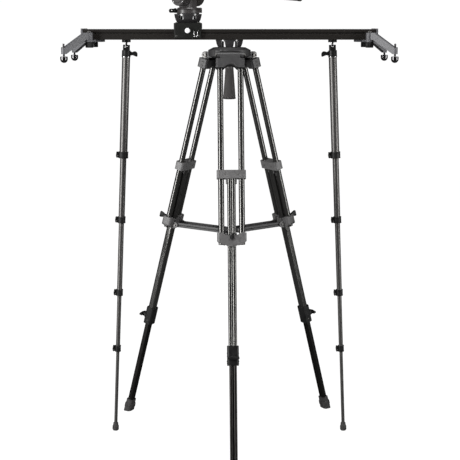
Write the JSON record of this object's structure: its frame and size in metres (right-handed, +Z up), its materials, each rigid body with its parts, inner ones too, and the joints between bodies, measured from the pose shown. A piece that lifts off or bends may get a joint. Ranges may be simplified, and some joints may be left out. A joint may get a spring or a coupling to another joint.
{
  "type": "camera slider on tripod",
  "caption": "Camera slider with a fluid head on its carriage, clamped across the bowl of a twin-tube tripod, with telescopic support rods under its ends.",
  "frame": {"origin": "on the floor, under the middle of the whole stand's bounding box", "axes": "+X along the rail, +Y away from the front leg, +Z up"},
  "size_m": [0.901, 0.5725, 1.311],
  "materials": {
    "spider_casting": "crinkle-coated die casting, dark grey, faint speckle",
    "leg_casting": "crinkle-coated die casting, mid grey, faint speckle",
    "leg_tube": "satin dark anodised tube with long bright reflections",
    "lower_tube": "satin black anodised tube",
    "rod_tube": "satin black anodised tube with thin turned ends",
    "rail_extrusion": "matt black anodised extrusion, fine lengthwise grain",
    "end_casting": "crinkle-coated grey casting",
    "ball_gloss": "smooth glossy dark casting",
    "carriage_black": "matt fine-textured black",
    "head_casting": "satin warm black casting",
    "knob_plastic": "moulded black plastic, slightly worn edges",
    "bright_steel": "turned steel",
    "chrome_knob": "polished, turned rings",
    "foot_metal": "dark polished dome",
    "grip_rubber": "knurled brown-grey rubber",
    "handle_black": "satin black bar with a rubber grip"
  },
  "bodies": {
    "spider": {"spider": "spider_casting", "leg_hinge_bolts": "bright_steel"},
    "front_leg_upper": {"front_leg_upper_tubes": "leg_tube", "front_leg_bracket": "leg_casting"},
    "front_leg_middle": {"front_leg_middle_stage": "leg_tube"},
    "front_leg_lower": {"front_leg_lower_stage": "lower_tube"},
    "front_leg_bracket_knob": {"front_leg_bracket_knob": "knob_plastic"},
    "front_leg_clamp_knob": {"front_leg_clamp_knob": "knob_plastic"},
    "left_leg_upper": {"left_leg_upper_tubes": "leg_tube", "left_leg_bracket": "leg_casting"},
    "left_leg_middle": {"left_leg_middle_stage": "leg_tube"},
    "left_leg_lower": {"left_leg_lower_stage": "lower_tube"},
    "left_leg_bracket_knob": {"left_leg_bracket_knob": "knob_plastic"},
    "left_leg_clamp_knob": {"left_leg_clamp_knob": "knob_plastic"},
    "right_leg_upper": {"right_leg_upper_tubes": "leg_tube", "right_leg_bracket": "leg_casting"},
    "right_leg_middle": {"right_leg_middle_stage": "leg_tube"},
    "right_leg_lower": {"right_leg_lower_stage": "lower_tube"},
    "right_leg_bracket_knob": {"right_leg_bracket_knob": "knob_plastic"},
    "right_leg_clamp_knob": {"right_leg_clamp_knob": "knob_plastic"},
    "spreader_hub": {"spreader_hub": "spider_casting"},
    "front_spreader_arm": {"front_spreader_arm": "spider_casting"},
    "left_spreader_arm": {"left_spreader_arm": "spider_casting"},
    "right_spreader_arm": {"right_spreader_arm": "spider_casting"},
    "slider": {"rail": "rail_extrusion", "rail_end_plates": "end_casting", "rail_ball_base": "ball_gloss", "rod_pads": "knob_plastic", "end_arm_knobs": "knob_plastic"},
    "bowl_clamp_handle": {"bowl_clamp_handle": "grip_rubber"},
    "carriage": {"carriage": "carriage_black", "head_ball_base": "ball_gloss"},
    "carriage_brake_knob": {"carriage_brake_knob": "chrome_knob"},
    "pan_base": {"pan_housing": "head_casting"},
    "pan_lock_lever": {"pan_lock_lever": "knob_plastic"},
    "tilt_cradle": {"tilt_cradle": "head_casting"},
    "tilt_lock_lever": {"tilt_lock_lever": "knob_plastic"},
    "pan_handle": {"pan_handle": "handle_black"},
    "camera_plate": {"camera_plate": "head_casting"},
    "plate_lock_lever": {"plate_lock_lever": "knob_plastic"},
    "end_arm_front_right": {"end_arm_front_right": "end_casting"},
    "levelling_foot_front_right": {"levelling_foot_front_right": "foot_metal"},
    "end_arm_front_left": {"end_arm_front_left": "end_casting"},
    "levelling_foot_front_left": {"levelling_foot_front_left": "foot_metal"},
    "end_arm_back_right": {"end_arm_back_right": "end_casting"},
    "levelling_foot_back_right": {"levelling_foot_back_right": "foot_metal"},
    "end_arm_back_left": {"end_arm_back_left": "end_casting"},
    "levelling_foot_back_left": {"levelling_foot_back_left": "foot_metal"},
    "left_rod_upper": {"left_rod_upper_tube": "rod_tube"},
    "left_rod_wing_knob": {"left_rod_wing_knob": "knob_plastic"},
    "left_rod_second": {"left_rod_second_tube": "rod_tube"},
    "left_rod_third": {"left_rod_third_tube": "rod_tube"},
    "left_rod_fourth": {"left_rod_fourth_tube": "rod_tube"},
    "left_rod_lowest": {"left_rod_lowest_tube": "rod_tube"},
    "right_rod_upper": {"right_rod_upper_tube": "rod_tube"},
    "right_rod_wing_knob": {"right_rod_wing_knob": "knob_plastic"},
    "right_rod_second": {"right_rod_second_tube": "rod_tube"},
    "right_rod_third": {"right_rod_third_tube": "rod_tube"},
    "right_rod_fourth": {"right_rod_fourth_tube": "rod_tube"},
    "right_rod_lowest": {"right_rod_lowest_tube": "rod_tube"}
  },
  "joints": [
    {"name": "front_leg_fold", "type": "hinge", "parent": "spider", "child": "front_leg_upper", "pos_m": [0.00201, 0.02584, 1.094], "axis": [0.9994, 0.0349, 0], "range_deg": [0, 13.2]},
    {"name": "front_leg_middle_slide", "type": "slide", "parent": "front_leg_upper", "child": "front_leg_middle", "axis": [0.0092, -0.262, -0.965], "range_m": [-0.24, 0.12]},
    {"name": "front_leg_lower_slide", "type": "slide", "parent": "front_leg_middle", "child": "front_leg_lower", "axis": [0.0092, -0.262, -0.965], "range_m": [-0.25, 0.11]},
    {"name": "front_leg_bracket_knob_turn", "type": "hinge", "parent": "front_leg_upper", "child": "front_leg_bracket_knob", "pos_m": [0.00652, -0.10308, 0.61921], "axis": [0.0337, -0.9644, 0.2622], "range_deg": [0, 180]},
    {"name": "front_leg_clamp_knob_turn", "type": "hinge", "parent": "front_leg_middle", "child": "front_leg_clamp_knob", "pos_m": [0.00942, -0.18641, 0.31234], "axis": [0.0337, -0.9644, 0.2622], "range_deg": [0, 180]},
    {"name": "left_leg_fold", "type": "hinge", "parent": "spider", "child": "left_leg_upper", "pos_m": [-0.05095, 0.11059, 1.094], "axis": [-0.4695, -0.8829, 0], "range_deg": [0, 13.2]},
    {"name": "left_leg_middle_slide", "type": "slide", "parent": "left_leg_upper", "child": "left_leg_middle", "axis": [-0.2315, 0.1231, -0.965], "range_m": [-0.24, 0.12]},
    {"name": "left_leg_lower_slide", "type": "slide", "parent": "left_leg_middle", "child": "left_leg_lower", "axis": [-0.2315, 0.1231, -0.965], "range_m": [-0.25, 0.11]},
    {"name": "left_leg_bracket_knob_turn", "type": "hinge", "parent": "left_leg_upper", "child": "left_leg_bracket_knob", "pos_m": [-0.16484, 0.17115, 0.61921], "axis": [-0.8521, 0.453, 0.2622], "range_deg": [0, 180]},
    {"name": "left_leg_clamp_knob_turn", "type": "hinge", "parent": "left_leg_middle", "child": "left_leg_clamp_knob", "pos_m": [-0.23846, 0.21029, 0.31234], "axis": [-0.8521, 0.453, 0.2622], "range_deg": [0, 180]},
    {"name": "right_leg_fold", "type": "hinge", "parent": "spider", "child": "right_leg_upper", "pos_m": [0.04893, 0.11408, 1.094], "axis": [-0.5299, 0.848, 0], "range_deg": [0, 13.2]},
    {"name": "right_leg_middle_slide", "type": "slide", "parent": "right_leg_upper", "child": "right_leg_middle", "axis": [0.2223, 0.1389, -0.965], "range_m": [-0.24, 0.12]},
    {"name": "right_leg_lower_slide", "type": "slide", "parent": "right_leg_middle", "child": "right_leg_lower", "axis": [0.2223, 0.1389, -0.965], "range_m": [-0.25, 0.11]},
    {"name": "right_leg_bracket_knob_turn", "type": "hinge", "parent": "right_leg_upper", "child": "right_leg_bracket_knob", "pos_m": [0.15833, 0.18243, 0.61921], "axis": [0.8184, 0.5114, 0.2622], "range_deg": [0, 180]},
    {"name": "right_leg_clamp_knob_turn", "type": "hinge", "parent": "right_leg_middle", "child": "right_leg_clamp_knob", "pos_m": [0.22903, 0.22662, 0.31234], "axis": [0.8184, 0.5114, 0.2622], "range_deg": [0, 180]},
    {"name": "spreader_hub_slide", "type": "slide", "parent": "spider", "child": "spreader_hub", "axis": [0, 0, 1], "range_m": [0, 0.136]},
    {"name": "front_spreader_arm_fold", "type": "hinge", "parent": "spreader_hub", "child": "front_spreader_arm", "pos_m": [0.0007, 0.06351, 0.602], "axis": [0.9994, 0.0349, 0], "range_deg": [0, 79]},
    {"name": "left_spreader_arm_fold", "type": "hinge", "parent": "spreader_hub", "child": "left_spreader_arm", "pos_m": [-0.01766, 0.09289, 0.602], "axis": [-0.4695, -0.8829, 0], "range_deg": [0, 79]},
    {"name": "right_spreader_arm_fold", "type": "hinge", "parent": "spreader_hub", "child": "right_spreader_arm", "pos_m": [0.01696, 0.0941, 0.602], "axis": [-0.5299, 0.848, 0], "range_deg": [0, 79]},
    {"name": "slider_level", "type": "hinge", "parent": "spider", "child": "slider", "pos_m": [0, 0.0835, 1.135], "axis": [0, 1, 0], "range_deg": [-8, 8]},
    {"name": "bowl_clamp_turn", "type": "hinge", "parent": "slider", "child": "bowl_clamp_handle", "pos_m": [0, 0.0835, 1.03], "axis": [0, 0, 1], "continuous": true},
    {"name": "carriage_slide", "type": "slide", "parent": "slider", "child": "carriage", "axis": [1, 0, 0], "range_m": [-0.2, 0.43]},
    {"name": "carriage_brake_turn", "type": "hinge", "parent": "carriage", "child": "carriage_brake_knob", "pos_m": [-0.113, 0.0335, 1.1595], "axis": [0, -1, 0], "range_deg": [0, 180]},
    {"name": "pan", "type": "hinge", "parent": "carriage", "child": "pan_base", "pos_m": [-0.113, 0.0835, 1.204], "axis": [0, 0, 1], "continuous": true},
    {"name": "pan_lock_turn", "type": "hinge", "parent": "pan_base", "child": "pan_lock_lever", "pos_m": [-0.14648, 0.0776, 1.213], "axis": [-0.9848, -0.1736, 0], "range_deg": [0, 60]},
    {"name": "tilt", "type": "hinge", "parent": "pan_base", "child": "tilt_cradle", "pos_m": [-0.113, 0.0835, 1.251], "axis": [0.6428, 0.766, 0], "range_deg": [-70, 30]},
    {"name": "tilt_lock_turn", "type": "hinge", "parent": "tilt_cradle", "child": "tilt_lock_lever", "pos_m": [-0.08536, 0.11644, 1.251], "axis": [0.6428, 0.766, 0], "range_deg": [0, 60]},
    {"name": "pan_handle_set", "type": "hinge", "parent": "tilt_cradle", "child": "pan_handle", "pos_m": [-0.0799, 0.12295, 1.282], "axis": [-0.6428, -0.766, 0], "range_deg": [-20, 90]},
    {"name": "camera_plate_slide", "type": "slide", "parent": "tilt_cradle", "child": "camera_plate", "axis": [0.766, -0.6428, 0], "range_m": [-0.03, 0.03]},
    {"name": "plate_lock_turn", "type": "hinge", "parent": "tilt_cradle", "child": "plate_lock_lever", "pos_m": [-0.12082, 0.04307, 1.283], "axis": [0.6428, 0.766, 0], "range_deg": [0, 45]},
    {"name": "end_arm_front_right_swing", "type": "hinge", "parent": "slider", "child": "end_arm_front_right", "pos_m": [0.378, 0.0345, 1.145], "axis": [0, 0, 1], "range_deg": [-35, 35]},
    {"name": "levelling_foot_front_right_screw", "type": "slide", "parent": "end_arm_front_right", "child": "levelling_foot_front_right", "axis": [0, 0, 1], "range_m": [-0.01, 0.005]},
    {"name": "end_arm_front_left_swing", "type": "hinge", "parent": "slider", "child": "end_arm_front_left", "pos_m": [-0.378, 0.0345, 1.145], "axis": [0, 0, 1], "range_deg": [-35, 35]},
    {"name": "levelling_foot_front_left_screw", "type": "slide", "parent": "end_arm_front_left", "child": "levelling_foot_front_left", "axis": [0, 0, 1], "range_m": [-0.01, 0.005]},
    {"name": "end_arm_back_right_swing", "type": "hinge", "parent": "slider", "child": "end_arm_back_right", "pos_m": [0.378, 0.1325, 1.145], "axis": [0, 0, 1], "range_deg": [-35, 35]},
    {"name": "levelling_foot_back_right_screw", "type": "slide", "parent": "end_arm_back_right", "child": "levelling_foot_back_right", "axis": [0, 0, 1], "range_m": [-0.01, 0.005]},
    {"name": "end_arm_back_left_swing", "type": "hinge", "parent": "slider", "child": "end_arm_back_left", "pos_m": [-0.378, 0.1325, 1.145], "axis": [0, 0, 1], "range_deg": [-35, 35]},
    {"name": "levelling_foot_back_left_screw", "type": "slide", "parent": "end_arm_back_left", "child": "levelling_foot_back_left", "axis": [0, 0, 1], "range_m": [-0.01, 0.005]},
    {"name": "left_rod_swing", "type": "hinge", "parent": "slider", "child": "left_rod_upper", "pos_m": [-0.283, 0.0835, 1.117], "axis": [0, 1, 0], "range_deg": [-12, 80]},
    {"name": "left_rod_wing_knob_turn", "type": "hinge", "parent": "left_rod_upper", "child": "left_rod_wing_knob", "pos_m": [-0.28391, 0.0835, 1.09802], "axis": [0.9988, 0, -0.048], "range_deg": [0, 180]},
    {"name": "left_rod_second_slide", "type": "slide", "parent": "left_rod_upper", "child": "left_rod_second", "axis": [-0.048, 0, -0.9988], "range_m": [-0.15, 0.02]},
    {"name": "left_rod_third_slide", "type": "slide", "parent": "left_rod_second", "child": "left_rod_third", "axis": [-0.048, 0, -0.9988], "range_m": [-0.175, 0.02]},
    {"name": "left_rod_fourth_slide", "type": "slide", "parent": "left_rod_third", "child": "left_rod_fourth", "axis": [-0.048, 0, -0.9988], "range_m": [-0.135, 0.02]},
    {"name": "left_rod_lowest_slide", "type": "slide", "parent": "left_rod_fourth", "child": "left_rod_lowest", "axis": [-0.048, 0, -0.9988], "range_m": [-0.19, 0.02]},
    {"name": "right_rod_swing", "type": "hinge", "parent": "slider", "child": "right_rod_upper", "pos_m": [0.283, 0.0835, 1.117], "axis": [0, -1, 0], "range_deg": [-12, 80]},
    {"name": "right_rod_wing_knob_turn", "type": "hinge", "parent": "right_rod_upper", "child": "right_rod_wing_knob", "pos_m": [0.28391, 0.0835, 1.09802], "axis": [-0.9988, 0, -0.048], "range_deg": [0, 180]},
    {"name": "right_rod_second_slide", "type": "slide", "parent": "right_rod_upper", "child": "right_rod_second", "axis": [0.048, 0, -0.9988], "range_m": [-0.15, 0.02]},
    {"name": "right_rod_third_slide", "type": "slide", "parent": "right_rod_second", "child": "right_rod_third", "axis": [0.048, 0, -0.9988], "range_m": [-0.175, 0.02]},
    {"name": "right_rod_fourth_slide", "type": "slide", "parent": "right_rod_third", "child": "right_rod_fourth", "axis": [0.048, 0, -0.9988], "range_m": [-0.135, 0.02]},
    {"name": "right_rod_lowest_slide", "type": "slide", "parent": "right_rod_fourth", "child": "right_rod_lowest", "axis": [0.048, 0, -0.9988], "range_m": [-0.19, 0.02]}
  ],
  "couplings": [
    {"joint": "left_leg_fold", "follows": "front_leg_fold", "ratio": 1},
    {"joint": "right_leg_fold", "follows": "front_leg_fold", "ratio": 1},
    {"joint": "spreader_hub_slide", "follows": "front_leg_fold", "m_per_rad": 0.58728},
    {"joint": "front_spreader_arm_fold", "follows": "front_leg_fold", "ratio": 5.9424},
    {"joint": "left_spreader_arm_fold", "follows": "front_leg_fold", "ratio": 5.9424},
    {"joint": "right_spreader_arm_fold", "follows": "front_leg_fold", "ratio": 5.9424}
  ]
}
